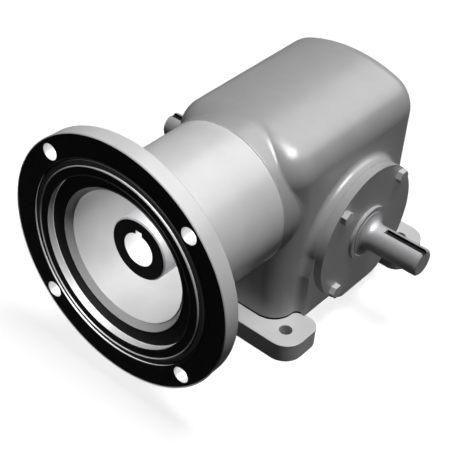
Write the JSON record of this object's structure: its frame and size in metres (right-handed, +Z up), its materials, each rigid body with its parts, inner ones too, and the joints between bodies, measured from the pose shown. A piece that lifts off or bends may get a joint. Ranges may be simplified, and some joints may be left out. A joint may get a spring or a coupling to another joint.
{
  "type": "worm gear reducer",
  "caption": "Right-angle worm gear reducer with a motor flange, a hollow keyed input, a double-ended keyed output shaft and a bolted foot plate.",
  "frame": {"origin": "centre of the four base holes on the underside of the base plate", "axes": "+X along the worm axis from the motor flange into the housing, +Y along the output shaft, +Z up"},
  "size_m": [0.2461, 0.2162, 0.1802],
  "materials": {
    "casting": "satin light grey paint on cast iron",
    "plain_steel": "turned steel",
    "output_steel": "ground steel shaft",
    "worm_steel": "case-hardened and ground steel",
    "screw_steel": "zinc-plated steel",
    "bearing_steel": "ground bearing steel",
    "dark_iron": "black oxide",
    "bronze": "hobbed bronze",
    "rubber": "matt nitrile rubber"
  },
  "bodies": {
    "case": {"housing": "casting", "motor_flange": "casting", "motor_adapter": "casting", "adapter_gasket": "rubber", "adapter_screws": "dark_iron", "flange_seal_ring": "rubber", "base_plate": "casting", "base_screws": "dark_iron", "cover_right": "casting", "cover_left": "casting", "cover_shims_right": "plain_steel", "cover_shims_left": "plain_steel", "cover_screws_right": "screw_steel", "cover_screws_left": "screw_steel", "output_seal_right": "rubber", "output_seal_left": "rubber", "bearing_cup_right": "bearing_steel", "bearing_cup_left": "bearing_steel", "front_bearing_outer": "bearing_steel", "rear_bearing_outer": "bearing_steel", "input_seal": "rubber", "rear_end_plug": "plain_steel", "vent_plug": "dark_iron", "level_plug": "dark_iron", "drain_plug": "dark_iron"},
    "output": {"output_shaft": "output_steel", "wheel_hub": "dark_iron", "wheel_rim": "bronze", "wheel_key": "plain_steel", "wheel_spacer": "plain_steel", "bearing_cone_right": "bearing_steel", "bearing_cone_left": "bearing_steel"},
    "worm": {"worm_shaft": "worm_steel", "front_bearing_inner": "bearing_steel", "front_retaining_ring": "dark_iron", "rear_bearing_inner": "bearing_steel", "rear_retaining_ring": "dark_iron"},
    "rollers_right_set": {"rollers_right": "bearing_steel", "roller_cage_right": "plain_steel"},
    "rollers_left_set": {"rollers_left": "bearing_steel", "roller_cage_left": "plain_steel"},
    "front_ball_set": {"front_balls": "bearing_steel", "front_ball_cage": "bronze"},
    "rear_ball_set": {"rear_balls": "bearing_steel", "rear_ball_cage": "bronze"}
  },
  "joints": [
    {"name": "output_turn", "type": "hinge", "parent": "case", "child": "output", "pos_m": [0.003, 0, 0.0595], "axis": [0, 1, 0], "continuous": true},
    {"name": "worm_turn", "type": "hinge", "parent": "case", "child": "worm", "pos_m": [0, 0, 0.0976], "axis": [1, 0, 0], "continuous": true},
    {"name": "rollers_right_turn", "type": "hinge", "parent": "case", "child": "rollers_right_set", "pos_m": [0.003, 0, 0.0595], "axis": [0, 1, 0], "continuous": true},
    {"name": "rollers_left_turn", "type": "hinge", "parent": "case", "child": "rollers_left_set", "pos_m": [0.003, 0, 0.0595], "axis": [0, 1, 0], "continuous": true},
    {"name": "front_balls_turn", "type": "hinge", "parent": "case", "child": "front_ball_set", "pos_m": [0, 0, 0.0976], "axis": [1, 0, 0], "continuous": true},
    {"name": "rear_balls_turn", "type": "hinge", "parent": "case", "child": "rear_ball_set", "pos_m": [0, 0, 0.0976], "axis": [1, 0, 0], "continuous": true}
  ],
  "couplings": [
    {"joint": "worm_turn", "follows": "output_turn", "ratio": -20},
    {"joint": "rollers_right_turn", "follows": "output_turn", "ratio": 0.4142},
    {"joint": "rollers_left_turn", "follows": "output_turn", "ratio": 0.4142},
    {"joint": "front_balls_turn", "follows": "output_turn", "ratio": -7.913},
    {"joint": "rear_balls_turn", "follows": "output_turn", "ratio": -7.5789}
  ]
}
